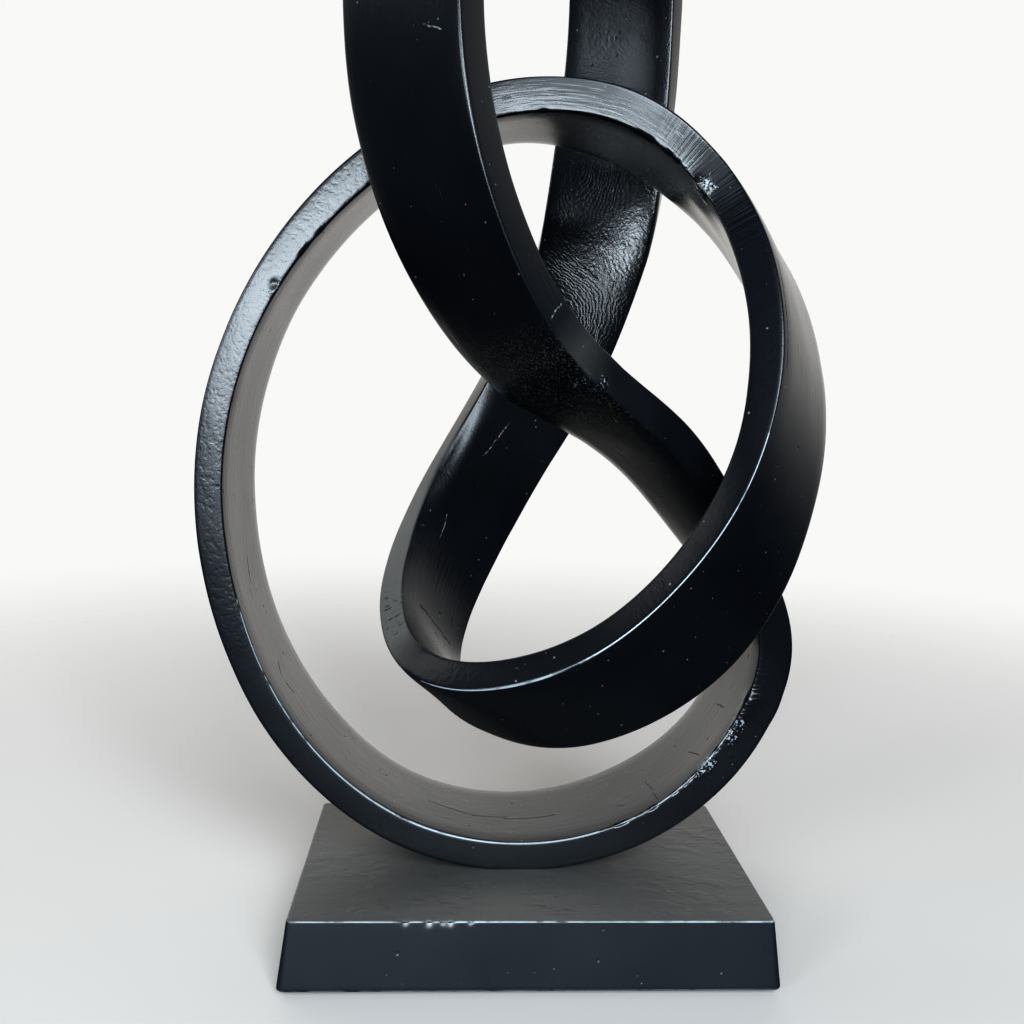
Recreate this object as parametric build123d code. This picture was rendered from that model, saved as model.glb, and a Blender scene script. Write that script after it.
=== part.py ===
"""A knot sculpture: one flat cast band, tied and closed, on a cast block.

Millimetres. +Z is up, +X is to the right of someone who faces the front, and the origin is the
middle of the face that the sculpture rests on.
"""
import os
from bisect import bisect_right
from math import ceil, cos, radians, sin

from build123d import *

# The knot's centre line: its reach across, front to back, and from the seat up to the crown.
knot_width = 170.0
knot_depth = 110.0
knot_rise = 344.0

# The band that the knot is tied from.
band_width = 41.0
band_thickness = 10.0
band_edge_radius = 0.7
section_spacing = 13.0

# The welds between the castings: a V all round, filled and ground nearly flush.
weld_mouth = 7.0
weld_depth = 2.6
weld_land = 1.0
weld_crown = 0.3
root_edge_radius = 0.5

# The flat that is ground on the ring where it stands on the block.
seat_cut = 0.8

# The cast block, with sides that draw in towards the top.
block_length = 144.0
block_breadth = 85.0
block_height = 20.0
block_draft = 2.5
block_corner_radius = 2.0
block_top_radius = 0.8
block_bottom_radius = 2.0

# The rubber sheet glued under the block.
sheet_thickness = 1.5
sheet_inset = 4.0
sheet_corner_radius = 6.0

# The two cap screws that pull the ring down on the block, and their washers.
screw_diameter = 6.0
screw_spacing = 22.0
screw_head_diameter = 10.0
screw_head_height = 6.0
screw_key_width = 5.0
screw_key_depth = 3.0
screw_chamfer = 0.6
thread_engagement = 6.5
tapped_depth = 7.2
thread_clearance = 0.05
clearance_hole_diameter = 6.6
washer_diameter = 12.0
washer_thickness = 1.6
counterbore_diameter = 13.0
counterbore_depth = 10.0

# Stations along the closed band, from the crown down the front strand and round the big ring.
# Each has its place across, back and up, as shares of the knot's width, depth and rise, from
# above the middle of the block; the bearing and pitch, in degrees, in which the marked edge
# looks; and shares of the band's width and of its thickness at the marked and the plain edge.
# The band has half a twist in it, so a second turn round it runs along its other edge.
station_shares = {
    "crown": (0.000, 0.110, 1.000, -35, -2, 1.00, 1.00, 1.00),
    "arch_front": (-0.147, -0.173, 0.933, -37, 0, 1.00, 1.00, 1.00),
    "front_top": (-0.218, -0.336, 0.805, -39, 2, 1.00, 1.00, 1.00),
    "front_middle": (-0.224, -0.355, 0.660, -43, 6, 1.00, 1.00, 1.00),
    "front_low": (-0.150, -0.310, 0.536, -49, 8, 1.00, 1.00, 1.00),
    "front_cross": (-0.018, -0.227, 0.445, -59, 10, 1.00, 1.00, 1.00),
    "cross_middle": (0.165, -0.095, 0.381, -66, 7, 1.00, 1.05, 1.00),
    "cross_hidden": (0.320, 0.040, 0.299, -74, 0, 1.00, 1.05, 1.00),
    "ring_right": (0.426, 0.077, 0.205, -85, -2, 1.00, 1.10, 1.00),
    "ring_low_right": (0.382, 0.086, 0.108, -92, -2, 1.00, 1.10, 1.00),
    "ring_foot_right": (0.221, 0.095, 0.032, -91, -2, 1.00, 1.00, 1.00),
    "seat": (-0.006, 0.100, 0.000, -90, 0, 1.00, 0.96, 0.96),
    "ring_foot_left": (-0.241, 0.095, 0.026, -89, 0, 1.00, 0.90, 0.90),
    "ring_low_left": (-0.432, 0.095, 0.109, -91, 0, 1.00, 0.86, 0.90),
    "ring_left": (-0.547, 0.095, 0.233, -91, 0, 1.00, 0.90, 0.90),
    "ring_left_high": (-0.565, 0.095, 0.371, -92, 0, 1.00, 0.90, 0.90),
    "ring_shoulder": (-0.482, 0.095, 0.500, -91, -1, 1.00, 0.90, 0.90),
    "ring_top_left": (-0.315, 0.108, 0.603, -90, -2, 1.00, 0.98, 0.98),
    "ring_top_hidden": (-0.088, 0.102, 0.663, -90, -2, 1.00, 1.04, 1.00),
    "ring_top": (0.135, 0.085, 0.656, -93, 1, 1.00, 1.04, 1.10),
    "top_right": (0.285, 0.055, 0.609, -104, 4, 1.00, 1.04, 1.30),
    "side_top": (0.368, -0.055, 0.544, -118, 15, 1.00, 1.00, 1.50),
    "side_middle": (0.402, -0.205, 0.459, -127, 22, 1.00, 0.96, 1.10),
    "side_low": (0.365, -0.318, 0.346, -131, 32, 1.00, 0.90, 1.00),
    "loop_right": (0.229, -0.386, 0.237, -137, 36, 1.00, 0.88, 0.90),
    "loop_bottom": (0.035, -0.350, 0.174, -127, 40, 1.00, 0.88, 0.90),
    "loop_low_left": (-0.124, -0.218, 0.164, -122, 35, 1.00, 0.90, 0.90),
    "loop_left": (-0.200, -0.027, 0.186, -133, 46, 0.95, 0.86, 0.90),
    "loop_rise": (-0.174, 0.186, 0.256, -143, 41, 0.89, 0.86, 0.90),
    "back_cross": (-0.047, 0.373, 0.372, -156, 30, 0.88, 0.90, 0.90),
    "back_low": (0.095, 0.518, 0.514, -172, 20, 0.94, 0.94, 0.94),
    "back_middle": (0.165, 0.600, 0.669, 158, 8, 0.98, 0.94, 0.94),
    "back_top": (0.182, 0.582, 0.823, 147, 4, 0.99, 0.94, 0.94),
    "arch_back": (0.132, 0.410, 0.942, 146, 2, 1.00, 0.98, 0.98),
}

# The welds, each at a share of the way from a station to the next one.
weld_shares = {
    "front_weld": ("front_cross", 0.26),
    "ring_weld": ("ring_right", 0.58),
    "top_weld": ("top_right", 0.20),
    "back_weld": ("back_low", 0.40),
}

# The castings, each from one weld on to the next.
castings = {
    "crossing_limb": ("front_weld", "ring_weld"),
    "lower_ring": ("ring_weld", "top_weld"),
    "inner_loop": ("top_weld", "back_weld"),
    "upper_arch": ("back_weld", "front_weld"),
}

block_top_z = sheet_thickness + block_height
seat_thickness = band_thickness * station_shares["seat"][6]
seat_centre_z = block_top_z + seat_thickness / 2 - seat_cut


def station_centre(shares):
    """The middle of the band at a station."""
    across, back, up = shares[:3]
    return Vector(across * knot_width, back * knot_depth, seat_centre_z + up * knot_rise)


def half_width(shares, run):
    """From the middle of the band out to its marked edge, square to the band's run."""
    bearing, pitch, width_share = radians(shares[3]), radians(shares[4]), shares[5]
    look = Vector(cos(bearing) * cos(pitch), sin(bearing) * cos(pitch), sin(pitch))
    square = look - run * look.dot(run)
    return square.normalized() * (width_share * band_width / 2)


rows = list(station_shares.values())
count = len(rows)
centres = [station_centre(row) for row in rows]
runs = [(centres[(i + 1) % count] - centres[i - 1]).normalized() for i in range(count)]
halves = [half_width(row, run) for row, run in zip(rows, runs)]

# The band has one edge line, which closes after two turns: out along the marked side of every
# station, then, past the half twist at the crown, along the plain side of every station.
marked_side = [centre + half for centre, half in zip(centres, halves)]
plain_side = [centre - half for centre, half in zip(centres, halves)]
steps = [(centres[(i + 1) % count] - centre).length for i, centre in enumerate(centres)]
distances = [sum(steps[:i]) for i in range(count + 1)]
once_round = distances[count]
twice_round = once_round + once_round
edge_distances = distances[:-1] + [once_round + distance for distance in distances]
edge_line = Edge.make_spline(marked_side + plain_side, periodic=True, parameters=edge_distances)

# How far round the edge line each station lies, as a share of the two turns.
turn_shares = [edge_line.param_at_point(point) for point in marked_side + plain_side]
turn_shares = [0] + turn_shares[1:] + [1]

edge_thickness_shares = [row[6] for row in rows] + [row[7] for row in rows]
edge_thickness_shares.append(edge_thickness_shares[0])


def edge_span(distance):
    """The span of the edge line that a distance from the crown falls in, and the share of it."""
    here = distance % twice_round
    i = min(bisect_right(edge_distances, here), 2 * count) - 1
    return i, (here - edge_distances[i]) / (edge_distances[i + 1] - edge_distances[i])


def edge_place(distance):
    """The same place as a share of the edge line's two turns."""
    i, share = edge_span(distance)
    return turn_shares[i] + (turn_shares[i + 1] - turn_shares[i]) * share


def edge_thickness(distance):
    """The band's thickness at a place on the edge line, eased from station to station."""
    i, share = edge_span(distance)
    ease = share * share * (3 - 2 * share)
    low, high = edge_thickness_shares[i], edge_thickness_shares[i + 1]
    return band_thickness * (low + (high - low) * ease)


def band_section(distance, grow=0, edge_radius=band_edge_radius):
    """The band's rounded section at a distance from the crown, grown on every side."""
    near, far = edge_place(distance), edge_place(distance + once_round)
    marked, plain = edge_line.position_at(near), edge_line.position_at(far)
    run = edge_line.derivative_at(near, 1) + edge_line.derivative_at(far, 1)
    plane = Plane(origin=(marked + plain) / 2, x_dir=marked - plain, z_dir=run)
    reach = (marked - plain).length / 2 + grow
    marked_half = edge_thickness(distance) / 2 + grow
    plain_half = edge_thickness(distance + once_round) / 2 + grow
    outline = Polygon(
        (reach, marked_half), (-reach, plain_half), (-reach, -plain_half), (reach, -marked_half),
        align=None,
    )
    return plane * fillet(outline.vertices(), edge_radius)


def weld_place(name):
    """A weld's distance from the crown along the band."""
    station, share = weld_shares[name]
    i = list(station_shares).index(station)
    return distances[i] + share * steps[i]


def weld_tip(weld, side):
    """The bevelled end of a casting: down one flank of the V to the land where the roots meet."""
    mouth = band_section(weld + side * weld_mouth / 2)
    root = band_section(weld + side * weld_land / 2, -weld_depth, root_edge_radius)
    face = band_section(weld, -weld_depth, root_edge_radius)
    return loft([mouth, root], ruled=True) + loft([root, face], ruled=True)


def casting(first_weld, last_weld):
    """One stretch of the band between two welds, with both its ends bevelled."""
    start, end = weld_place(first_weld), weld_place(last_weld)
    if end < start:
        end += once_round
    first, last = start + weld_mouth / 2, end - weld_mouth / 2
    spans = ceil((last - first) / section_spacing)
    places = [first + (last - first) * i / spans for i in range(spans + 1)]
    band = loft([band_section(place) for place in places])
    return band + weld_tip(start, 1) + weld_tip(end, -1)


def weld_fill(name):
    """The weld metal in the V, with its low crown."""
    weld = weld_place(name)
    first, last = weld - weld_mouth / 2, weld + weld_mouth / 2
    slug = loft([band_section(first), band_section(weld, weld_crown), band_section(last)])
    return slug - weld_tip(weld, -1) - weld_tip(weld, 1)


seat_x = centres[list(station_shares).index("seat")].X
seat_y = centres[list(station_shares).index("seat")].Y
screw_places = [(seat_x, seat_y - screw_spacing / 2), (seat_x, seat_y + screw_spacing / 2)]
head_seat_z = sheet_thickness + counterbore_depth
screw_head_z = head_seat_z - washer_thickness


def at_screws(shape, z):
    """The same shape at both screws, at a height."""
    return [Pos(x, y, z) * shape for x, y in screw_places]


def peg(diameter, height):
    """An upright round peg that stands on its origin."""
    return Cylinder(diameter / 2, height, align=(Align.CENTER, Align.CENTER, Align.MIN))


def lower_ring():
    """The big ring, with the ground seat and the two blind tapped holes above it."""
    ring = casting(*castings["lower_ring"])
    ring = split(ring, bisect_by=Plane.XY.offset(block_top_z), keep=Keep.TOP)
    hole = peg(screw_diameter + 2 * thread_clearance, tapped_depth)
    for tapped in at_screws(hole, block_top_z):
        ring -= tapped
    return ring


def block():
    """The cast block with drafted sides and a counterbored hole for each screw."""
    foot = Plane.XY.offset(sheet_thickness) * RectangleRounded(
        block_length, block_breadth, block_corner_radius
    )
    head = Plane.XY.offset(block_top_z) * RectangleRounded(
        block_length - 2 * block_draft, block_breadth - 2 * block_draft, block_corner_radius
    )
    body = loft([foot, head])
    body = fillet(body.faces().sort_by(Axis.Z)[-1].edges(), block_top_radius)
    body = fillet(body.faces().sort_by(Axis.Z)[0].edges(), block_bottom_radius)
    for hole in at_screws(peg(clearance_hole_diameter, block_height), sheet_thickness):
        body -= hole
    for counterbore in at_screws(peg(counterbore_diameter, counterbore_depth), sheet_thickness):
        body -= counterbore
    return body


def base_sheet():
    """The rubber sheet that the block rests on, and that hides the screws."""
    outline = RectangleRounded(
        block_length - 2 * sheet_inset, block_breadth - 2 * sheet_inset, sheet_corner_radius
    )
    return extrude(outline, sheet_thickness)


def screw():
    """A socket cap screw that points up, with the underside of its head at its origin."""
    head = Pos(0, 0, -screw_head_height) * peg(screw_head_diameter, screw_head_height)
    head = chamfer(head.edges().sort_by(Axis.Z)[0], screw_chamfer)
    length = washer_thickness + block_height - counterbore_depth + thread_engagement
    shank = peg(screw_diameter, length)
    shank = chamfer(shank.edges().sort_by(Axis.Z)[-1], screw_chamfer)
    key = RegularPolygon(screw_key_width / 2, 6, major_radius=False)
    socket = Pos(0, 0, -screw_head_height) * extrude(key, screw_key_depth)
    return head + shank - socket


def washer():
    """A flat washer that lies on its origin."""
    return peg(washer_diameter, washer_thickness) - peg(clearance_hole_diameter, washer_thickness)


parts = {
    "block": block(),
    "base_sheet": base_sheet(),
    "lower_ring": lower_ring(),
    "crossing_limb": casting(*castings["crossing_limb"]),
    "inner_loop": casting(*castings["inner_loop"]),
    "upper_arch": casting(*castings["upper_arch"]),
    "seat_screws": Compound(children=at_screws(screw(), screw_head_z)),
    "seat_washers": Compound(children=at_screws(washer(), screw_head_z)),
}
for weld_name in weld_shares:
    parts[weld_name] = weld_fill(weld_name)

os.makedirs("parts", exist_ok=True)
for node, shape in parts.items():
    export_step(shape, f"parts/{node}.step")
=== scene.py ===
# %% [markdown]
# # A knot in cast metal
# The sculpture is one flat band that is tied in a knot and closed, with half a twist in it. It was
# sand cast in four pieces, welded, dressed with a file and painted near black. The CAD model gives
# every piece its place and size. This script gives the band its cast and filed skin, the welds
# their beads, the block its rounded edges, and all of it the satin paint.

# %% Load the fixed frame
from itertools import product
from math import cos, pi, radians, sin

import bpy
import numpy as np
from mathutils import Matrix, Vector


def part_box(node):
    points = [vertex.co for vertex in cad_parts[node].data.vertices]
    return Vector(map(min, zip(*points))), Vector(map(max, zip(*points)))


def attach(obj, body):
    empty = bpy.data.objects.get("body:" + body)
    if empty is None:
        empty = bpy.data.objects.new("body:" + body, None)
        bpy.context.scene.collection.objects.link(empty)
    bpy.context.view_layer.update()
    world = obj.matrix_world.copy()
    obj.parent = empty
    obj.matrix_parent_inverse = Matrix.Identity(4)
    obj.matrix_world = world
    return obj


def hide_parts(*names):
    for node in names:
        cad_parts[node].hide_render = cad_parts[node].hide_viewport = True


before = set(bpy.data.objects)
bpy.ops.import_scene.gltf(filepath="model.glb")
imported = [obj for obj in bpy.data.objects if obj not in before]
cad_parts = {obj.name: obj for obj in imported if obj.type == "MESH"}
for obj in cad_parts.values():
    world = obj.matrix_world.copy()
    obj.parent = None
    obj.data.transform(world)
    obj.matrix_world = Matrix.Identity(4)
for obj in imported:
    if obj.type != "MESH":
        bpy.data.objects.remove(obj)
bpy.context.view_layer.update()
print("pieces in the frame:", sorted(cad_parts))

# %% [markdown]
# ## The path of the band
# A flat band in space needs more than a centre line, because it also turns about that line. The
# table gives both. Each station has a place, the way its marked edge looks, and its width and
# thickness, as shares of the knot's size. These are the same stations as in the CAD model, so the
# new skin lies where the castings are.

# %% The knot's sizes and its stations
KNOT_WIDTH = 0.170
KNOT_DEPTH = 0.110
KNOT_RISE = 0.344
BAND_WIDTH = 0.041
BAND_THICKNESS = 0.010
EDGE_RADIUS = 0.0007
SOFT_EDGE_RADIUS = 0.0028
FACE_ROLL, ROLL_SHARE = 0.0004, 0.30
EDGE_CROWN = 0.00010
SOFT_SHARE = 0.45
SEAT_CUT = 0.0008

STATION_SHARES = {
    "crown": (0.000, 0.110, 1.000, -35, -2, 1.00, 1.00, 1.00),
    "arch_front": (-0.147, -0.173, 0.933, -37, 0, 1.00, 1.00, 1.00),
    "front_top": (-0.218, -0.336, 0.805, -39, 2, 1.00, 1.00, 1.00),
    "front_middle": (-0.224, -0.355, 0.660, -43, 6, 1.00, 1.00, 1.00),
    "front_low": (-0.150, -0.310, 0.536, -49, 8, 1.00, 1.00, 1.00),
    "front_cross": (-0.018, -0.227, 0.445, -59, 10, 1.00, 1.00, 1.00),
    "cross_middle": (0.165, -0.095, 0.381, -66, 7, 1.00, 1.05, 1.00),
    "cross_hidden": (0.320, 0.040, 0.299, -74, 0, 1.00, 1.05, 1.00),
    "ring_right": (0.426, 0.077, 0.205, -85, -2, 1.00, 1.10, 1.00),
    "ring_low_right": (0.382, 0.086, 0.108, -92, -2, 1.00, 1.10, 1.00),
    "ring_foot_right": (0.221, 0.095, 0.032, -91, -2, 1.00, 1.00, 1.00),
    "seat": (-0.006, 0.100, 0.000, -90, 0, 1.00, 0.96, 0.96),
    "ring_foot_left": (-0.241, 0.095, 0.026, -89, 0, 1.00, 0.90, 0.90),
    "ring_low_left": (-0.432, 0.095, 0.109, -91, 0, 1.00, 0.86, 0.90),
    "ring_left": (-0.547, 0.095, 0.233, -91, 0, 1.00, 0.90, 0.90),
    "ring_left_high": (-0.565, 0.095, 0.371, -92, 0, 1.00, 0.90, 0.90),
    "ring_shoulder": (-0.482, 0.095, 0.500, -91, -1, 1.00, 0.90, 0.90),
    "ring_top_left": (-0.315, 0.108, 0.603, -90, -2, 1.00, 0.98, 0.98),
    "ring_top_hidden": (-0.088, 0.102, 0.663, -90, -2, 1.00, 1.04, 1.00),
    "ring_top": (0.135, 0.085, 0.656, -93, 1, 1.00, 1.04, 1.10),
    "top_right": (0.285, 0.055, 0.609, -104, 4, 1.00, 1.04, 1.30),
    "side_top": (0.368, -0.055, 0.544, -118, 15, 1.00, 1.00, 1.50),
    "side_middle": (0.402, -0.205, 0.459, -127, 22, 1.00, 0.96, 1.10),
    "side_low": (0.365, -0.318, 0.346, -131, 32, 1.00, 0.90, 1.00),
    "loop_right": (0.229, -0.386, 0.237, -137, 36, 1.00, 0.88, 0.90),
    "loop_bottom": (0.035, -0.350, 0.174, -127, 40, 1.00, 0.88, 0.90),
    "loop_low_left": (-0.124, -0.218, 0.164, -122, 35, 1.00, 0.90, 0.90),
    "loop_left": (-0.200, -0.027, 0.186, -133, 46, 0.95, 0.86, 0.90),
    "loop_rise": (-0.174, 0.186, 0.256, -143, 41, 0.89, 0.86, 0.90),
    "back_cross": (-0.047, 0.373, 0.372, -156, 30, 0.88, 0.90, 0.90),
    "back_low": (0.095, 0.518, 0.514, -172, 20, 0.94, 0.94, 0.94),
    "back_middle": (0.165, 0.600, 0.669, 158, 8, 0.98, 0.94, 0.94),
    "back_top": (0.182, 0.582, 0.823, 147, 4, 0.99, 0.94, 0.94),
    "arch_back": (0.132, 0.410, 0.942, 146, 2, 1.00, 0.98, 0.98),
}
names = list(STATION_SHARES)
shares = np.array(list(STATION_SHARES.values()))
print(len(names), "stations round the band")

# %% [markdown]
# ## One edge line, twice round
# Because of the half twist, the band's marked edge runs on into its plain edge and closes only
# after two turns. So a single closed spline carries both edges, and a point on it faces the
# point one turn further on. A periodic cubic spline is the smooth curve through given points:
# its bends at the points solve one small set of equations, which NumPy does at once.


# %% A closed cubic spline
def closed_spline(points, knots):
    """Functions for the place and the slope of the smooth closed curve through points."""
    gaps = np.diff(knots)
    before = np.roll(gaps, 1)
    size = len(points)
    steps = (np.roll(points, -1, axis=0) - points) / gaps[:, None]
    system = np.diag(2 * (before + gaps))
    for i in range(size):
        system[i, i - 1] += before[i]
        system[i, (i + 1) % size] += gaps[i]
    bends = np.linalg.solve(system, 6 * (steps - np.roll(steps, 1, axis=0)))
    closed_points = np.vstack([points, points[:1]])
    closed_bends = np.vstack([bends, bends[:1]])

    def spans(distances):
        here = np.mod(distances, knots[-1])
        i = np.clip(np.searchsorted(knots, here, side="right") - 1, 0, size - 1)
        gap = gaps[i][:, None]
        return i, gap, (knots[i + 1] - here)[:, None], (here - knots[i])[:, None]

    def place(distances):
        i, gap, left, right = spans(distances)
        low, high = closed_bends[i], closed_bends[i + 1]
        curve = (low * left**3 + high * right**3) / (6 * gap)
        return curve + (closed_points[i] / gap - low * gap / 6) * left + (
            closed_points[i + 1] / gap - high * gap / 6
        ) * right

    def slope(distances):
        i, gap, left, right = spans(distances)
        low, high = closed_bends[i], closed_bends[i + 1]
        curve = (high * right**2 - low * left**2) / (2 * gap)
        return curve + (closed_points[i + 1] - closed_points[i]) / gap - (high - low) * gap / 6

    return place, slope


# %% The edge line of the knot
def unit(vectors):
    """The same directions at length one."""
    return vectors / np.linalg.norm(vectors, axis=-1, keepdims=True)


def dots(a, b):
    """The dot product of each pair of vectors, as a column."""
    return np.sum(a * b, axis=-1, keepdims=True)


seat_share = STATION_SHARES["seat"][6]
seat_centre_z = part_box("block")[1].z + BAND_THICKNESS * seat_share / 2 - SEAT_CUT
centres = shares[:, :3] * (KNOT_WIDTH, KNOT_DEPTH, KNOT_RISE) + (0, 0, seat_centre_z)
runs = unit(np.roll(centres, -1, axis=0) - np.roll(centres, 1, axis=0))
bearings, pitches = np.radians(shares[:, 3]), np.radians(shares[:, 4])
looks = np.column_stack(
    [np.cos(bearings) * np.cos(pitches), np.sin(bearings) * np.cos(pitches), np.sin(pitches)]
)
halves = unit(looks - runs * dots(looks, runs)) * shares[:, 5:6] * BAND_WIDTH / 2

steps = np.linalg.norm(np.roll(centres, -1, axis=0) - centres, axis=1)
distances = np.concatenate([[0], np.cumsum(steps)])
once_round = distances[-1]
edge_knots = np.concatenate([distances[:-1], distances + once_round])
edge_place, edge_slope = closed_spline(np.vstack([centres + halves, centres - halves]), edge_knots)
edge_thickness_shares = np.concatenate([shares[:, 6], shares[:, 7], shares[:1, 6]])
print("once round the band:", round(once_round, 3), "m")


def edge_half_thickness(along):
    """Half the band's thickness at a place on the edge line, eased between the stations."""
    here = np.mod(along, 2 * once_round)
    i = np.clip(np.searchsorted(edge_knots, here, side="right") - 1, 0, len(edge_knots) - 2)
    share = (here - edge_knots[i]) / (edge_knots[i + 1] - edge_knots[i])
    ease = share**2 * (3 - 2 * share)
    low, high = edge_thickness_shares[i], edge_thickness_shares[i + 1]
    return BAND_THICKNESS / 2 * (low + (high - low) * ease)


# %% Places and stretches along the band
def station_distance(station, share=0.0):
    """Distance from the crown to a station, or to a share of the way on to the next."""
    i = names.index(station)
    return distances[i] + share * steps[i]


def stretch(along, first, last, fade):
    """1 on the band between two places, 0 outside, and a soft change between."""
    low, high = station_distance(*first), station_distance(*last)
    half = np.mod(high - low, once_round) / 2
    offset = np.mod(along - low - half + once_round / 2, once_round) - once_round / 2
    return np.clip((half - np.abs(offset)) / fade + 0.5, 0, 1)


# %% [markdown]
# ## The section of the band
# Each section is a slightly tapered rectangle with rounded corners. Hand filing leaves its narrow
# sides a little crowned and lets the wide faces roll off towards the edges, and gloss shows that
# at once. Along two stretches more was filed away, and there one side of a wide face rolls down
# by about two millimetres. A point of the section is stored as two shares, across and through the
# band, and an angle round its corner. Moving a point along its own outward direction makes the
# band thicker or thinner there, which is how all the dents, ripples and beads are made later.

# %% Points round the section
GRAIN_STEP = 0.0008
CORNER_STEPS = 3


def section_outline():
    """Across share, through share and angle of each point round the section, and its travel."""
    wide_steps = round((BAND_WIDTH - 2 * EDGE_RADIUS) / GRAIN_STEP)
    narrow_steps = round((BAND_THICKNESS - 2 * EDGE_RADIUS) / GRAIN_STEP)
    corner_angles = np.linspace(0, pi / 2, CORNER_STEPS + 1)[1:]
    rows = []
    for quarter, (count, start, end) in enumerate(
        [
            (narrow_steps, (1, -1), (1, 1)),
            (wide_steps, (1, 1), (-1, 1)),
            (narrow_steps, (-1, 1), (-1, -1)),
            (wide_steps, (-1, -1), (1, -1)),
        ]
    ):
        angle = quarter * pi / 2
        for share in np.linspace(0, 1, count + 1)[1:]:
            spot = np.array(start) * (1 - share) + np.array(end) * share
            rows.append((spot[0], spot[1], angle))
        for turn in corner_angles[:-1]:
            rows.append((end[0], end[1], angle + turn))
        rows.append((end[0], end[1], angle + corner_angles[-1]))
    return np.array(rows)


SECTION = section_outline()
SOFT_STRETCH = (("front_cross", 0.45), ("ring_right", 0.20))
SOFT_FADE = 0.030
SOFT_ROLLS = [
    (*SOFT_STRETCH, -1, 0.0015),
    (("loop_rise", 0.20), ("back_cross", 0.00), 1, 0.0024),
]
print(len(SECTION), "points round each section")


def corner_radius(along):
    """The radius at each point, small but for the lower edge of the limb that crosses."""
    softened = stretch(along, *SOFT_STRETCH, SOFT_FADE)[:, None]
    share = (1 - SECTION[:, 0]) * (1 + SECTION[:, 1]) / 4
    return EDGE_RADIUS + (SOFT_EDGE_RADIUS - EDGE_RADIUS) * softened * share


def band_surface(along):
    """Places and outward directions of a grid of points: one row for each distance along."""
    marked, plain = edge_place(along), edge_place(along + once_round)
    run = unit(edge_slope(along) + edge_slope(along + once_round))
    width_way = unit((marked - plain) - run * dots(marked - plain, run))
    face_way = np.cross(run, width_way)
    half_width = np.linalg.norm(marked - plain, axis=1)[:, None] / 2
    marked_half = edge_half_thickness(along)[:, None]
    plain_half = edge_half_thickness(along + once_round)[:, None]
    across, through, angle = SECTION.T
    half = (marked_half + plain_half) / 2 + across * (marked_half - plain_half) / 2
    radius = corner_radius(along)
    roll = FACE_ROLL * (np.clip((np.abs(across) - 1) / ROLL_SHARE + 1, 0, 1) ** 2 - 0.5)
    for first, last, side, drop in SOFT_ROLLS:
        soft = np.clip((side * across - 1) / SOFT_SHARE + 1, 0, 1) ** 2 * (1 + through) / 2
        roll = roll + drop * soft * stretch(along, first, last, SOFT_FADE)[:, None]
    crown = EDGE_CROWN * (np.abs(across) == 1) * (1 - through**2)
    x = across * (half_width - EDGE_CROWN - radius + crown) + radius * np.cos(angle)
    y = through * (half - radius - roll) + radius * np.sin(angle)
    middle = (marked + plain) / 2
    places = middle[:, None] + x[..., None] * width_way[:, None] + y[..., None] * face_way[:, None]
    out = np.cos(angle)[None, :, None] * width_way[:, None] + (
        np.sin(angle)[None, :, None] * face_way[:, None]
    )
    return places, out


# %% [markdown]
# ## The cast skin
# Sand casting and hand dressing leave a surface that is never quite flat. Here it comes from
# smooth noise: a value for each corner of a fine grid in space, eased in between. Noise in
# space, not on the surface, runs on across a weld or round an edge without a seam.


# %% Smooth noise in space
CELL_FACTORS = np.array([374761393, 668265263, 2147483647])
SEED_FACTOR = 1274126177
STIRS = [(13, 1103515245), (16, 69069)]
LAST_SHIFT = 15
LOW_BITS = 0xFFFFFFFF


def lattice_value(cell, seed):
    """A steady number from −1 to 1 for each cell of the grid."""
    mix = ((cell * CELL_FACTORS).sum(axis=-1) + seed * SEED_FACTOR) & LOW_BITS
    for shift, factor in STIRS:
        mix = ((mix ^ (mix >> shift)) * factor) & LOW_BITS
    return (mix ^ (mix >> LAST_SHIFT)) / (LOW_BITS >> 1) - 1


def smooth_noise(places, size, seed):
    """Noise from −1 to 1 with features of about one size."""
    scaled = places / size
    cell = np.floor(scaled).astype(np.int64)
    part = scaled - cell
    ease = part**3 * (part * (part * 6 - 15) + 10)
    total = 0
    for corner in product((0, 1), repeat=3):
        weight = np.prod(np.where(corner, ease, 1 - ease), axis=-1)
        total = total + weight * lattice_value(cell + np.array(corner), seed)
    return total


# The size, the seed and the depth of each kind of unevenness.
WAVES = (0.030, 11), 0.00035
BLOWS = (0.011, 12), 0.00005
CAST_GRAIN = (0.0032, 13), 0.000008


def relief(places, *kinds):
    """How far some kinds of unevenness, added up, stand out from the true shape."""
    return sum(smooth_noise(places, *kind) * depth for kind, depth in kinds)


def cast_relief(places):
    """How far the cast and dressed skin stands out from the true shape."""
    return relief(places, WAVES, BLOWS, CAST_GRAIN)


# %% Where the welds are
WELD_SHARES = {
    "front_weld": ("front_cross", 0.26),
    "ring_weld": ("ring_right", 0.58),
    "top_weld": ("top_right", 0.20),
    "back_weld": ("back_low", 0.40),
}
CASTINGS = {
    "crossing_limb": ("front_weld", "ring_weld"),
    "lower_ring": ("ring_weld", "top_weld"),
    "inner_loop": ("top_weld", "back_weld"),
    "upper_arch": ("back_weld", "front_weld"),
}
weld_places = {name: station_distance(*spot) for name, spot in WELD_SHARES.items()}
print({name: round(place, 3) for name, place in weld_places.items()})


# %% A closed mesh from rows of points
def add_object(name, data):
    """A new object in the scene, with its mesh, light or camera."""
    made = bpy.data.objects.new(name, data)
    bpy.context.scene.collection.objects.link(made)
    return made


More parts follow.
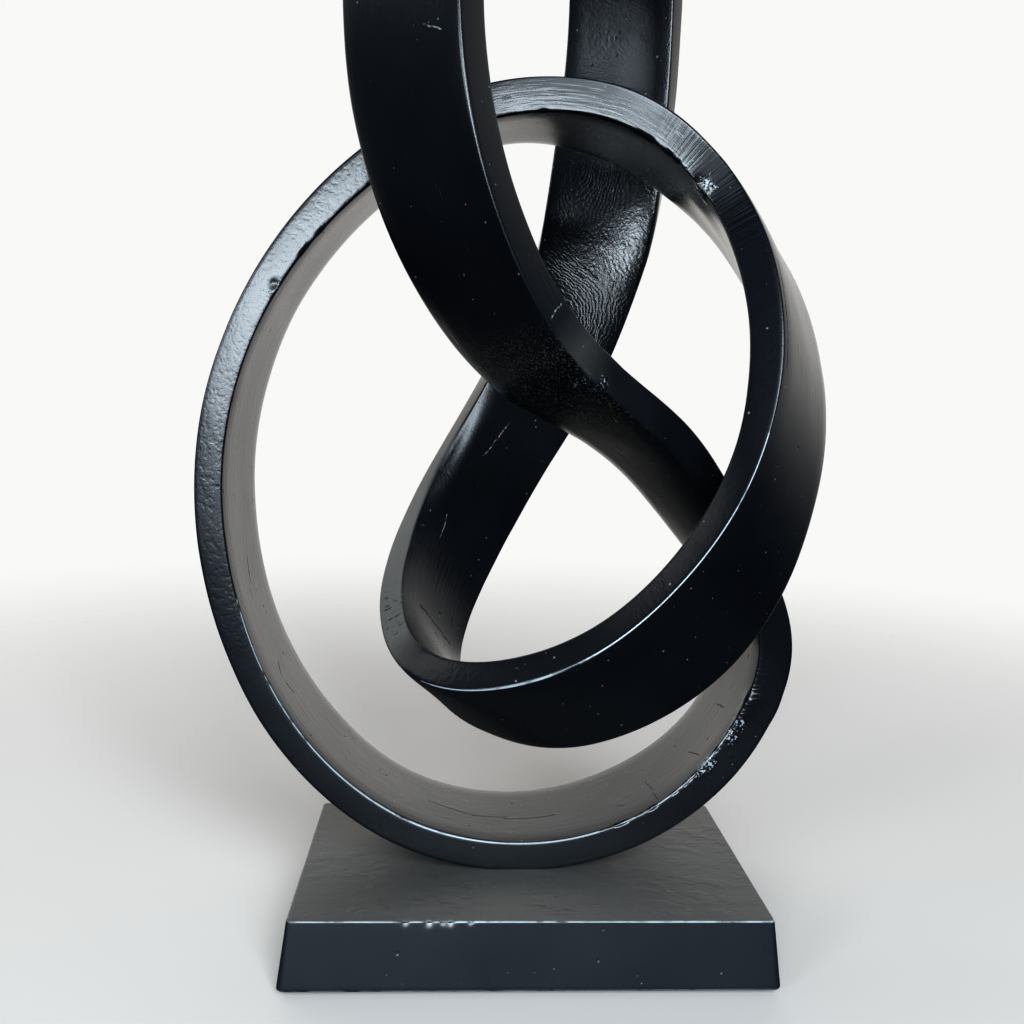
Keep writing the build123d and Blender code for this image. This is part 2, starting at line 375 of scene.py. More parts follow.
def skin_mesh(name, places):
    """A piece of band: a tube through the rows of points, closed at both ends."""
    rows, columns = places.shape[:2]
    verts = places.reshape(-1, 3)
    i, j = np.meshgrid(np.arange(rows - 1), np.arange(columns), indexing="ij")
    a, b = i * columns + j, i * columns + (j + 1) % columns
    quads = np.stack([a, b, b + columns, a + columns], axis=-1).reshape(-1, 4)
    first, last = list(range(columns))[::-1], list(range((rows - 1) * columns, rows * columns))
    mesh = bpy.data.meshes.new(name)
    mesh.from_pydata(verts.tolist(), [], quads.tolist() + [first, last])
    mesh.shade_smooth()
    return add_object(name, mesh)


def store(piece, name, values):
    """Keeps one number for each point, for the material to read."""
    attribute = piece.data.attributes.new(name, "FLOAT", "POINT")
    attribute.data.foreach_set("value", np.ascontiguousarray(values, dtype=np.float32).ravel())


# %% [markdown]
# ## Marks of the making
# A few places are known by what happened there: a lump of weld at the kink, a swelling beside the
# ring's upper weld, a dent, a broad swell and a hollow on the back strand. Each mark has a place on
# the band, given by a station and shares along, across and through, a size, and a height that may
# be below zero.


# %% Lumps and dents
def band_point(station, share, across, through):
    """A place on the band's skin, from shares across and through it."""
    along = np.array([station_distance(station, share)])
    marked, plain = edge_place(along)[0], edge_place(along + once_round)[0]
    run = unit(edge_slope(along)[0] + edge_slope(along + once_round)[0])
    width_way = unit(marked - plain)
    face_way = np.cross(run, width_way)
    half = BAND_THICKNESS / 2
    return (marked + plain) / 2 + width_way * across * BAND_WIDTH / 2 + face_way * through * half


MARKS = [
    ("front_cross", 0.20, 0.97, 0.95, 0.0030, 0.00070),
    ("front_cross", 0.12, 0.93, 0.90, 0.0020, 0.00040),
    ("front_cross", 0.30, 1.00, 0.40, 0.0045, -0.00050),
    ("top_right", 0.26, 0.97, 1.00, 0.0022, 0.00080),
    ("top_right", 0.38, 0.90, 1.00, 0.0016, 0.00050),
    ("top_right", 0.16, 1.00, 0.70, 0.0015, 0.00035),
    ("top_right", 0.30, 0.30, 1.00, 0.0090, 0.00100),
    ("ring_right", 0.55, 1.00, 0.80, 0.0030, 0.00060),
    ("ring_right", 0.72, 0.98, 0.95, 0.0025, 0.00050),
    ("ring_shoulder", 0.05, 1.00, 0.55, 0.0013, -0.00050),
    ("ring_shoulder", 0.02, 1.00, 0.75, 0.0012, 0.00030),
    ("back_middle", 0.10, -0.10, 1.00, 0.0100, 0.00080),
    ("back_low", 0.61, -0.85, 1.00, 0.0200, 0.00150),
    ("back_low", 0.03, 0.11, 1.00, 0.0200, -0.00150),
]


def mark_relief(places):
    """How far the marks raise or sink the skin at each place."""
    total = np.zeros(places.shape[:-1])
    for station, share, across, through, size, height in MARKS:
        spot = band_point(station, share, across, through)
        far = np.linalg.norm(places - spot, axis=-1) / size
        total += height * np.exp(-(far**2))
    return total


print(len(MARKS), "lumps and dents")


# %% [markdown]
# ## Zones of the skin
# No two stretches of the band were worked in the same way. Some kept the ridges of the sand, the
# ripples of a weld or a dimpled skin. Some were filed across or brushed along, and some have gritty
# paint. Some are painted a paler grey, which is dry paint and painted sheen. A few edges are
# chipped, and some carry a pale line of painted highlight. The table gives each kind its stretch
# of the band, the side that it is on and its strength. Sides count in quarter turns round the
# section: 0 is the marked edge, 1 the front face, 2 the plain edge, 3 the back face, and a half
# lies on the corner between two of them.

# %% Where each kind of skin lies
MARKED, MARKED_FRONT, FRONT, BACK, MARKED_BACK = 0.0, 0.5, 1.0, 3.0, 3.5
ZONE_FADE = 0.012
ZONES = [
    ("ridged", ("back_cross", 0.50), ("back_middle", 0.30), FRONT, 1.0),
    ("ridged", ("back_middle", 0.30), ("arch_back", 0.50), FRONT, 0.3),
    ("ridged", ("loop_rise", 0.35), ("back_cross", 0.50), FRONT, 0.4),
    ("filed", ("ring_top", 0.45), ("side_top", 0.25), MARKED, 1.0),
    ("filed", ("loop_low_left", 0.50), ("loop_left", 0.30), MARKED, 1.0),
    ("rippled", ("ring_right", 0.20), ("ring_low_right", 0.60), MARKED, 1.0),
    ("streaked", ("ring_top_left", 0.40), ("ring_top", 0.60), MARKED, 1.0),
    ("streaked", ("front_low", 0.30), ("front_cross", 0.15), MARKED, 1.0),
    ("streaked", ("ring_right", 0.60), ("ring_top_left", 0.30), FRONT, 0.8),
    ("streaked", ("loop_low_left", 0.30), ("loop_rise", 0.10), FRONT, 1.0),
    ("streaked", ("top_right", 0.40), ("loop_right", 0.20), BACK, 0.5),
    ("streaked", ("arch_front", 0.00), ("front_low", 0.80), FRONT, 0.5),
    ("streaked", ("front_cross", 0.30), ("ring_right", 0.40), FRONT, 0.3),
    ("dimpled", ("ring_low_left", 0.60), ("ring_top_left", 0.50), MARKED, 1.0),
    ("dimpled", ("side_top", 0.20), ("loop_right", 0.20), MARKED, 0.6),
    ("dimpled", ("loop_bottom", 0.60), ("loop_rise", 0.30), MARKED, 1.0),
    # The dry zones are painted a paler grey: dry paint and painted sheen.
    ("dry_and_sheen", ("loop_low_left", 0.40), ("loop_rise", 0.80), MARKED, 1.0),
    ("dry_and_sheen", ("front_low", 0.90), ("front_cross", 0.12), MARKED, 0.4),
    ("dusty", ("front_low", 0.75), ("front_cross", 0.80), FRONT, 1.0),
    # The edge_highlight zones paint a pale line of painted highlight along rounded edges.
    ("edge_highlight", ("ring_right", 0.65), ("ring_left", 0.10), MARKED_FRONT, 1.0),
    ("edge_highlight", ("side_middle", 0.60), ("loop_low_left", 0.20), MARKED_BACK, 1.0),
    ("edge_highlight", ("front_low", 0.50), ("front_cross", 0.10), MARKED_BACK, 0.7),
    ("edge_highlight", ("loop_bottom", 0.70), ("loop_left", 0.60), MARKED_FRONT, 0.5),
    ("ragged", ("ring_right", 0.50), ("ring_foot_right", 0.20), MARKED_FRONT, 1.0),
    ("ragged", ("ring_top_hidden", 0.30), ("top_right", 0.10), MARKED_FRONT, 0.8),
    ("ragged", ("ring_shoulder", 0.15), ("ring_shoulder", 0.60), MARKED_FRONT, 1.0),
]
SEEN_KINDS = ("ridged", "rippled", "filed", "streaked", "dimpled", "dry_and_sheen", "dusty", "edge_highlight")
FACE_REACH, FACE_FADE = 0.75, 0.5
CORNER_REACH, CORNER_FADE = 0.45, 0.3


def zone(kind, along):
    """How strongly one kind of skin shows at each point of a grid of rows, from 0 to 1."""
    turns = np.floor(along / once_round)[:, None]
    facings = SECTION[:, 2] / (pi / 2) + 2 * turns
    total = np.zeros(facings.shape)
    for row_kind, first, last, facing, strength in ZONES:
        if row_kind != kind:
            continue
        gap = np.abs(np.mod(facings - facing + 2, 4) - 2)
        on_face = facing % 1 == 0
        reach, fade = (FACE_REACH, FACE_FADE) if on_face else (CORNER_REACH, CORNER_FADE)
        side = np.clip((reach - gap) / fade, 0, 1)
        length = stretch(along, first, last, ZONE_FADE)[:, None]
        total = np.maximum(total, side * length * strength)
    return total


NICKS, NICK_DEPTH = (0.0026, 14), 0.0009
NICK_FLOOR = 0.05


def edge_nicks(places, along):
    """Chips out of the ragged stretches of the edges, as a height below zero."""
    bites = np.clip(smooth_noise(places, *NICKS) - NICK_FLOOR, 0, 1)
    return -bites * zone("ragged", along) * NICK_DEPTH


print(len(ZONES), "zones of", len({row[0] for row in ZONES}), "kinds")


# %% [markdown]
# ## The four castings
# Each casting runs from one weld to the next, and its ends stop inside the bead. The noise moves
# every point along its outward direction.

# %% Make the castings
WELD_LAND = 0.001
CREST_REACH = 0.0012
BLOCK_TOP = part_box("block")[1].z
SEAT_BITE = 0.0002

across_travel = np.abs(1 - np.abs(SECTION[:, 0])) * BAND_WIDTH / 2
through_travel = np.abs(1 - np.abs(SECTION[:, 1])) * BAND_THICKNESS / 2
crest = np.clip(1 - (across_travel + through_travel) / CREST_REACH, 0, 1)


def dress(piece, along):
    """Keeps what the paint reads: the corners, the place on the band and the zones."""
    shape = (len(along), len(SECTION))
    start = once_round if along[-1] > once_round else 0
    store(piece, "crest", np.broadcast_to(crest, shape))
    store(piece, "along", np.broadcast_to(along[:, None] - start, shape))
    store(piece, "across", np.broadcast_to(SECTION[:, 0] * BAND_WIDTH / 2, shape))
    store(piece, "through", np.broadcast_to(SECTION[:, 1] * BAND_THICKNESS / 2, shape))
    for kind in SEEN_KINDS:
        store(piece, kind, zone(kind, along))
    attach(piece, "root")


def make_casting(name, first_weld, last_weld):
    """One stretch of the band between two welds."""
    start, end = weld_places[first_weld], weld_places[last_weld]
    if end < start:
        end += once_round
    start, end = start + WELD_LAND / 2, end - WELD_LAND / 2
    along = np.linspace(start, end, round((end - start) / GRAIN_STEP) + 1)
    places, out = band_surface(along)
    height = cast_relief(places) + mark_relief(places) + edge_nicks(places, along)
    places = places + out * height[..., None]
    places[..., 2] = np.maximum(places[..., 2], BLOCK_TOP - SEAT_BITE)
    piece = skin_mesh(name + "_skin", places)
    dress(piece, along)
    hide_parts(name)
    print(name, len(piece.data.vertices), "points")
    return piece


castings = {name: make_casting(name, *ends) for name, ends in CASTINGS.items()}

# %% [markdown]
# ## The four welds
# A weld bead is a row of overlapping puddles. Three of these beads were filed almost flat, and
# the one low on the ring keeps its ripples on the narrow side. Each bead is a short sleeve of band
# that stands a little proud in the middle, mostly on the narrow sides, and dips under the castings
# at both toes. So the line where it meets them is uneven like a real weld's, and no crack opens
# between the pieces.

# %% Make the welds
BEAD_HALF = 0.0050
BEAD_STEP = 0.0004
TOE_DIP = 0.00005
WIDE_CROWN = 0.00003
WANDER, WANDER_SHARE = (0.006, 21), 0.25
BEAD_LUMPS = (0.0025, 22), TOE_DIP / 2
BEADS = {
    "front_weld": {"crown": 0.00012, "ripple": 0.00001, "ripples": 3},
    "ring_weld": {"crown": 0.00020, "ripple": 0.00010, "ripples": 6},
    "top_weld": {"crown": 0.00004, "ripple": 0.00000, "ripples": 3},
    "back_weld": {"crown": 0.00006, "ripple": 0.00000, "ripples": 3},
}


def make_weld(name, crown, ripple, ripples):
    """A bead right round the band where two castings meet, filed flush on the wide faces."""
    along = np.linspace(-1, 1, round(2 * BEAD_HALF / BEAD_STEP) + 1)
    spots = weld_places[name] + along * BEAD_HALF
    places, out = band_surface(spots)
    rise = along[:, None] ** 2
    wander = relief(places, (WANDER, WANDER_SHARE))
    narrow = np.abs(SECTION[:, 0]) == 1
    puddles = np.cos(2 * pi * ripples * (along[:, None] + wander)) * ripple * (1 - rise)
    puddles = puddles * narrow * (1 + SECTION[:, 1]) / 2
    crowns = np.where(narrow, crown, WIDE_CROWN)
    swell = (crowns + TOE_DIP) * (1 - rise) - TOE_DIP + puddles + relief(places, BEAD_LUMPS)
    swell = swell + cast_relief(places) + mark_relief(places)
    swell = swell + edge_nicks(places, spots)
    piece = skin_mesh(name + "_bead", places + out * swell[..., None])
    dress(piece, spots)
    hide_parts(name)
    print(name, len(piece.data.vertices), "points")
    return piece


welds = {name: make_weld(name, **bead) for name, bead in BEADS.items()}

# %% [markdown]
# ## The cast block
# The block's sides lean in, so it could be lifted out of the sand, and all its edges are soft. A
# few small chips are out of the upper front edge. It is made like an onion: rounded rectangles,
# one inside the other, from the middle of the underside out to the edge, up the side and back in
# over the top. Points that close together let the noise raise the skin and sink the chips.

# %% Make the block
BLOCK_LENGTH, BLOCK_BREADTH = 0.144, 0.085
BLOCK_DRAFT = 0.0025
BLOCK_CORNER = 0.0020
BLOCK_TOP_RADIUS, BLOCK_BOTTOM_RADIUS = 0.0005, 0.0010
BLOCK_STEP = 0.0007
CORNER_SHRINK, LEAST_CORNER = 3, 0.0003
ARC_STEPS, TOP_ARC_STEPS, UNDER_STEPS = 5, 4, 9
CHIP_DEPTH = 0.0006
BLOCK_CHIPS = [
    (-0.0363, 0.0009),
    (-0.0297, 0.0012),
    (-0.0258, 0.0008),
    (-0.0237, 0.0011),
    (-0.0180, 0.0007),
]
block_low, block_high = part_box("block")[0].z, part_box("block")[1].z


def rounded_rectangle(inset, height):
    """One ring of the onion, as points in order round it."""
    x, y = BLOCK_LENGTH / 2 - inset, BLOCK_BREADTH / 2 - inset
    radius = max(BLOCK_CORNER - inset / CORNER_SHRINK, LEAST_CORNER)
    long_steps, short_steps = round(BLOCK_LENGTH / BLOCK_STEP), round(BLOCK_BREADTH / BLOCK_STEP)
    rows = []
    for quarter, (sx, sy) in enumerate([(1, 1), (-1, 1), (-1, -1), (1, -1)]):
        middle = np.array([sx * (x - radius), sy * (y - radius)])
        angles = (quarter + np.linspace(0, 1, ARC_STEPS + 1)) * pi / 2
        arc = middle + radius * np.column_stack([np.cos(angles), np.sin(angles)])
        side = long_steps if quarter % 2 == 0 else short_steps
        far = np.array([-sx, sy]) if quarter % 2 == 0 else np.array([sx, -sy])
        reach = np.array([x - radius, y - radius]) * far
        turned = radius * np.array([np.cos(angles[-1]), np.sin(angles[-1])])
        line = np.linspace(arc[-1], reach + turned, side + 1)[1:-1]
        rows += [arc, line]
    flat = np.vstack(rows)
    return np.column_stack([flat, np.full(len(flat), height)])


def block_rings():
    """Inset and height of each ring, from the middle of the underside to that of the top."""
    centre = BLOCK_BREADTH / 2 - BLOCK_DRAFT - BLOCK_STEP
    lean = BLOCK_DRAFT / (block_high - block_low)
    under = np.linspace(centre, 3 * BLOCK_BOTTOM_RADIUS / 2, UNDER_STEPS + 1)
    rows = [(inset, block_low) for inset in under]
    for angle in np.linspace(0, pi / 2, ARC_STEPS + 1):
        height = BLOCK_BOTTOM_RADIUS * (1 - cos(angle))
        rows.append((BLOCK_BOTTOM_RADIUS * (1 - sin(angle)) + lean * height, block_low + height))
    low, high = block_low + BLOCK_BOTTOM_RADIUS, block_high - BLOCK_TOP_RADIUS
    for height in np.arange(low + BLOCK_STEP, high, BLOCK_STEP):
        rows.append((lean * (height - block_low), height))
    for angle in np.linspace(0, pi / 2, TOP_ARC_STEPS + 1):
        height = high + BLOCK_TOP_RADIUS * sin(angle)
        rows.append((lean * (height - block_low) + BLOCK_TOP_RADIUS * (1 - cos(angle)), height))
    edge = BLOCK_DRAFT + BLOCK_TOP_RADIUS
    rows += [(inset, block_high) for inset in np.arange(edge + BLOCK_STEP, centre, BLOCK_STEP)]
    return rows


def block_chips(places):
    """How deep the small chips out of the upper front edge go at each place."""
    edge = np.array([0, -(BLOCK_BREADTH / 2 - BLOCK_DRAFT), block_high])
    total = np.zeros(places.shape[:-1])
    for x, size in BLOCK_CHIPS:
        far = np.linalg.norm(places - edge - np.array([x, 0, 0]), axis=-1)
        total = np.maximum(total, np.exp(-((far / size) ** 2)))
    return total


def hump(share):
    """0 at both ends of a stretch and 1 in its middle."""
    return np.clip(4 * share * (1 - share), 0, 1)


GRAIN_STRETCH = np.array([0.45, 1.0, 1.0])
COARSE_GRAIN = (0.0032, 31), 0.00003
FINE_GRAIN = (0.0016, 32), 0.000012
CALM_WAVES = (0.020, 33), 0.00008
SIDE_GRAIN_SHARE = 0.2
LOWER_EDGE_SHARE = 0.5


def make_block():
    """The block, with an uneven cast top and quieter sides."""
    rings = block_rings()
    places = np.array([rounded_rectangle(*ring) for ring in rings])
    middle = places.mean(axis=(0, 1))
    up = (places[..., 2:] > block_high - BLOCK_TOP_RADIUS / 2).astype(float)
    level = np.where(places[..., 2:] < block_low + BLOCK_TOP_RADIUS / 2, -1.0, up)
    sideways = unit((places - middle) * (1 / BLOCK_LENGTH, 1 / BLOCK_BREADTH, 0))
    out = sideways * (1 - np.abs(level)) + level * np.array([0, 0, 1])
    grain = relief(places * GRAIN_STRETCH, COARSE_GRAIN, FINE_GRAIN)
    calm = relief(places, CALM_WAVES)
    chips = block_chips(places)
    height = grain[..., None] * np.where(level > 0, 1.0, SIDE_GRAIN_SHARE) + calm[..., None]
    height = np.where(level < 0, 0.0, height) - chips[..., None] * CHIP_DEPTH
    piece = skin_mesh("block_skin", places + out * height)
    store(piece, "top", np.clip(level, 0, 1))
    store(piece, "chip", chips)
    # The edge share marks where the paint puts a pale line of painted highlight along the edges.
    upper = hump((places[..., 2] - block_high) / BLOCK_TOP_RADIUS + 1)
    lower = hump((places[..., 2] - block_low) / BLOCK_BOTTOM_RADIUS)
    store(piece, "edge", np.maximum(upper, lower * LOWER_EDGE_SHARE))
    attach(piece, "root")
    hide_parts("block")
    print("block", len(piece.data.vertices), "points")
    return piece


block = make_block()

# %% [markdown]
# ## Arithmetic for materials
# A material is a sum: a base colour, more of one thing where a mask says so, less of another.
# Written as nodes one by one, such a sum is hard to read. This class wraps the output of a node
# and gives it plus, minus and times, so that a line of Python reads like the sum it stands for
# and leaves the right nodes behind.


# %% A wire that does sums
class Wire:
    """The output of a node in a material, on which plain arithmetic works."""

    def __init__(self, tree, socket=None):
        self.tree = tree
        self.socket = socket

    def node(self, kind, settings=None, values=None, out=0):
        """A new node: first its settings, then a value or a link for each named socket."""
        made = self.tree.nodes.new(kind)
        for setting, value in (settings or {}).items():
            setattr(made, setting, value)
        for key, value in (values or {}).items():
            if isinstance(value, Wire):
                self.tree.links.new(value.socket, made.inputs[key])
            else:
                made.inputs[key].default_value = value
        return Wire(self.tree, made.outputs[out] if made.outputs else None)

    def maths(self, operation, a, b=0.0):
        """A Math node on two numbers or wires."""
        return self.node("ShaderNodeMath", {"operation": operation}, {0: a, 1: b})

    def vector(self, operation, a, b=None, out=0):
        """A Vector Math node on two places, or on one alone."""
        values = {0: a} if b is None else {0: a, 1: b}
        return self.node("ShaderNodeVectorMath", {"operation": operation}, values, out)

    def __add__(self, other):
        return self.maths("ADD", self, other)

    def __radd__(self, other):
        return self.maths("ADD", other, self)

    def __sub__(self, other):
        return self.maths("SUBTRACT", self, other)

    def __rsub__(self, other):
        return self.maths("SUBTRACT", other, self)

    def __mul__(self, other):
        return self.maths("MULTIPLY", self, other)

    def __rmul__(self, other):
        return self.maths("MULTIPLY", other, self)

    def __truediv__(self, other):
        return self.maths("DIVIDE", self, other)

    def wave(self):
        """Up and down between −1 and 1 as the wire grows."""
        return self.maths("SINE", self)

    def rise(self, low, high):
        """From 0 to 1, softly, while the wire goes from low to high."""
        return self.node(
            "ShaderNodeMapRange", {"interpolation_type": "SMOOTHSTEP"}, {0: self, 1: low, 2: high}
        )

    def stretched(self, scale):
        """A place with each of its three directions scaled."""
        return self.vector("MULTIPLY", self, scale)

    def mixed(self, low, high):
        """The low colour where the wire is 0 and the high colour where it is 1."""
        return self.node(
            "ShaderNodeMix", {"data_type": "RGBA"}, {0: self, 6: low, 7: high}, out=2
        )

    def noise(self, size, detail=2.0, roughness=0.5, out=0):
        """Cloudy noise from 0 to 1 at a place, with features of about one size in metres."""
        values = {"Vector": self, "Scale": 1 / size, "Detail": detail, "Roughness": roughness}
        return self.node("ShaderNodeTexNoise", values=values, out=out)

    def patches(self, noise, limits):
        """Soft-edged patches: noise at a place, from 0 to 1 while it passes two limits."""
        return self.noise(*noise).rise(*limits)

    def cells(self, spacing, out=0):
        """Spacings to the nearest of scattered points, or, as output 1, its random colour."""
        values = {"Vector": self, "Scale": 1 / spacing}
        return self.node("ShaderNodeTexVoronoi", values=values, out=out)


def new_material(name):
    """An empty material and the wire to build it with."""
    material = bpy.data.materials.new(name)
    material.use_nodes = True
    material.node_tree.nodes.clear()
    return material, Wire(material.node_tree)


def finish_material(bench, values, height=None):
    """Joins the shader, with a bump from a height in metres, to the material's output."""
    if height is not None:
        values = dict(values)
        values["Normal"] = bench.node("ShaderNodeBump", values={"Distance": 1.0, "Height": height})
    shader = bench.node("ShaderNodeBsdfPrincipled", values=values)
    bench.node("ShaderNodeOutputMaterial", values={"Surface": shader})


def kept(bench, name):
    """A number that the mesh keeps for each of its points."""
    return bench.node("ShaderNodeAttribute", {"attribute_name": name}, out=2)


def object_place(bench):
    """The place on the object itself, which moves along with it."""
    return bench.node("ShaderNodeTexCoord", out=3)


def band_place(bench):
    """The place along, across and through the band, in metres, as if it lay straight."""
    ways = {i: kept(bench, name) for i, name in enumerate(("along", "across", "through"))}
    return bench.node("ShaderNodeCombineXYZ", values=ways)


# %% [markdown]
# ## Cuts and scratches
# Some marks are too thin for the mesh: cracks where the metal cooled unevenly, file cuts, pale
# scratches in the paint and the fine spatter beside the welds. Each is a straight line between two
# places on the band, which noise bends a little. The material works out how far it is from the
# nearest line. Sunk lines lower the height and are painted dark, a painted shade in the cracks.
# Pale ones go into the colour and raise it a little, and round a line of spatter lie small beads
# whose tops are painted pale, a painted glint.

# %% The lines and how far they are
SUNK_LINES = [
    (("back_low", 0.26, 0.24, 1), ("back_low", 0.19, -0.22, 1)),
    (("back_low", 0.22, 0.34, 1), ("back_low", 0.16, 0.02, 1)),
    (("side_top", 0.45, 0.90, -1), ("side_top", 0.80, 0.93, -1)),
    (("side_top", 0.80, 0.93, -1), ("side_middle", 0.30, 0.93, -1)),
    (("seat", 0.79, 0.04, 1), ("seat", 0.39, 0.20, 1)),
    (("seat", 0.41, 0.18, 1), ("seat", 0.12, 0.14, 1)),
    (("seat", 0.14, 0.20, 1), ("ring_foot_right", 0.70, 0.16, 1)),
    (("ring_low_right", 0.85, 0.20, 1), ("ring_low_right", 0.80, 0.60, 1)),
    (("ring_low_right", 0.82, 0.66, 1), ("ring_low_right", 0.81, 0.92, 1)),
    (("ring_low_right", 0.35, 0.30, 1), ("ring_low_right", 0.28, 0.70, 1)),
    (("ring_right", 0.84, 0.04, 1), ("ring_right", 0.80, 0.36, 1)),
    (("ring_foot_right", 0.16, 0.50, 1), ("ring_foot_right", 0.10, 0.58, 1)),
    (("ring_left", 0.20, 0.02, 1), ("ring_left", 0.02, 0.12, 1)),
    (("ring_low_left", 0.44, 0.18, 1), ("ring_low_left", 0.36, 0.36, 1)),
    (("ring_low_left", 0.29, 0.36, 1), ("ring_low_left", 0.20, 0.28, 1)),
    (("loop_left", 0.33, 0.48, 1), ("loop_left", 0.28, -0.08, 1)),
    (("loop_left", 0.28, -0.08, 1), ("loop_left", 0.23, -0.56, 1)),
]
PALE_LINES = [
    (("front_low", 0.69, 1, 0.8), ("front_low", 0.67, 1, -0.6)),
    (("loop_rise", 0.25, 0.50, 1), ("loop_rise", 0.17, 0.44, 1)),
    (("loop_rise", 0.17, 0.44, 1), ("loop_rise", 0.08, 0.44, 1)),
    (("top_right", 0.14, 1, 0.75), ("top_right", 0.33, 1, 0.50)),
    (("top_right", 0.22, 1, 0.05), ("top_right", 0.33, 1, 0.50)),
    (("top_right", 0.33, 1, 0.50), ("top_right", 0.46, 1, 0.20)),
    (("top_right", 0.33, 1, 0.50), ("top_right", 0.48, 1, 0.90)),
    (("back_cross", 0.07, 0.22, 1), ("loop_rise", 0.79, 0.36, 1)),
    (("top_right", 0.11, -0.70, 1), ("top_right", 0.19, -0.95, 1)),
    (("front_top", 0.89, 0.44, 1), ("front_top", 0.94, 0.72, 1)),
    (("ring_left_high", 0.98, 1, 0.27), ("ring_left_high", 0.99, 1, 0.80)),
    (("front_cross", 0.19, 1, 0.95), ("front_cross", 0.24, 1, 0.60)),
    (("front_cross", 0.21, 1, 0.55), ("front_cross", 0.27, 1, 0.90)),
    (("front_cross", 0.25, 1, 0.95), ("front_cross", 0.29, 1, 0.60)),
]
SPATTER_LINES = [
    (("front_cross", 0.18, 0.95, 0.95), ("front_cross", 0.26, 1, 0.70)),
    (("ring_right", 0.80, 1, 0.75), ("ring_right", 0.97, 1, 0.65)),
    (("ring_low_right", 0.22, 1, 0.80), ("ring_low_right", 0.32, 1, 0.85)),
    (("top_right", 0.26, 1, 0.70), ("top_right", 0.40, 1, 0.60)),
]
LINE_BEND = 0.0016
BEND_NOISE = (0.0035, 2.0, 0.6)


def line_end(station, share, across, through):
    """An end of a line, in the measures that the castings keep."""
    along = station_distance(station, share)
    if along < weld_places["front_weld"]:
        across, through = -across, -through
    if along > weld_places["back_weld"]:
        along -= once_round
    return Vector((along, across * BAND_WIDTH / 2, through * BAND_THICKNESS / 2))


def from_lines(bench, grain, lines):
    """Distance in metres from a place on the band to the nearest of some lines."""
    nearest = None
    for first, last in lines:
        start, run = line_end(*first), line_end(*last) - line_end(*first)
        here = bench.vector("SUBTRACT", grain, start)
        part = bench.vector("DOT_PRODUCT", here, run, out=1)
        share = part.maths("MINIMUM", part.maths("MAXIMUM", part / run.length_squared, 0.0), 1.0)
        spot = bench.node("ShaderNodeVectorMath", {"operation": "SCALE"}, {0: run, "Scale": share})
        far = bench.vector("DISTANCE", here, spot, out=1)
        nearest = far if nearest is None else far.maths("MINIMUM", nearest, far)
    return nearest


def bent(bench, grain, reach):
    """The place on the band, pushed about by noise, so that straight lines come out bent."""
    push = bench.vector("SUBTRACT", grain.noise(*BEND_NOISE, out=1), (0.5, 0.5, 0.5))
    return bench.vector("ADD", grain, push.stretched((reach, reach, 0)))


print(len(SUNK_LINES), "cracks and cuts,", len(PALE_LINES), "pale scratches")
print(len(SPATTER_LINES), "lines of spatter")

# %% [markdown]
# ## Satin paint on a casting
# The paint is one thin near-black coat with a touch of blue. It hides the metal's colour but not
# its skin: fine orange peel all over, small blow holes, and in each zone the marks of its own
# kind of work. Ridges are the level lines of smooth noise, as sand leaves them. File marks and
# brushing are noise drawn out across or along the band. Each noise is given by its size in metres,
# its detail and, where it matters, its roughness, and patches of noise also by the two limits
# between which they rise.

# %% The skin under the paint
PEEL, PEEL_DEPTH = (0.0011, 1.0, 0.5), 0.000010
DIMPLES, DIMPLE_DEPTH = ((0.0017, 1.0, 0.6), (0.44, 0.70)), 0.000018
HOLE_SPACING, HOLE_RIM, HOLE_DEPTH = 0.0045, (0.05, 0.16), 0.000110
HOLE_PATCHES = (0.011, 1.0), (0.58, 0.64)


def satin_skin(place, dimpled):
    """Height in metres of the orange peel and the small blow holes of a cast skin."""
    fine = place.noise(*PEEL)
    dimples = place.patches(*DIMPLES)
    pits = (1 - place.cells(HOLE_SPACING).rise(*HOLE_RIM)) * place.patches(*HOLE_PATCHES)
    height = fine * PEEL_DEPTH - dimples * dimpled * DIMPLE_DEPTH - pits * HOLE_DEPTH
    return height, pits


# %% Ridges, ripples, file marks and brushing
RIDGE_SWEEP, RIDGE_BEND, RIDGE_WOBBLE = (0.028, 0.0), (0.0040, 1.0), (0.0016, 1.0)
BEND_SHARE, WOBBLE_SHARE = 0.05, 0.03
RIDGE_TURNS, RIDGE_DEPTH = 2 * pi * 40, 0.000020
SAND, SAND_SHARE = (0.0013, 2.0, 0.6), 5
RIPPLE_TURNS, RIPPLE_DEPTH = 2 * pi / 0.0017, 0.000040
RIPPLE_SIDE = (-0.005, 0.004)
RIPPLE_PATCHES = (0.006, 1.0), (0.30, 0.60)
RIPPLE_WANDER, WANDER_TURNS = (0.006, 1.0), 24
FILE_STRETCH, FILE_GRAIN, FILE_DEPTH = (1.0, 0.05, 0.05), (0.0013, 2.0, 0.6), 0.000180
BRUSH_STRETCH, BRISTLES, BRUSH_DEPTH = (0.10, 1.0, 1.0), (0.0012, 2.0, 0.6), 0.000110
DASH_STRETCH, DASH_SPACING, DASH_RIM = (0.22, 1.0, 1.0), 0.0034, (0.06, 0.16)
DASH_PATCHES, DASH_DEPTH = ((0.006, 1.0), (0.50, 0.60)), 0.000090


def ridged_skin(bench, place):
    """The ridges and grains of the sand in their zone, counted in ridge depths."""
    lie = place.noise(*RIDGE_SWEEP) + place.noise(*RIDGE_BEND) * BEND_SHARE
    lie = lie + place.noise(*RIDGE_WOBBLE) * WOBBLE_SHARE
    waves = (lie * RIDGE_TURNS).wave() + place.noise(*SAND) * SAND_SHARE
    return waves * kept(bench, "ridged")


def rippled_skin(bench, place):
    """The ripples of a weld in their zone, stronger towards the front, from −1 to 1."""
    inner = kept(bench, "through").rise(*RIPPLE_SIDE) * kept(bench, "rippled")
    inner = inner * place.patches(*RIPPLE_PATCHES)
    turns = kept(bench, "along") * RIPPLE_TURNS + place.noise(*RIPPLE_WANDER) * WANDER_TURNS
    return turns.wave() * inner


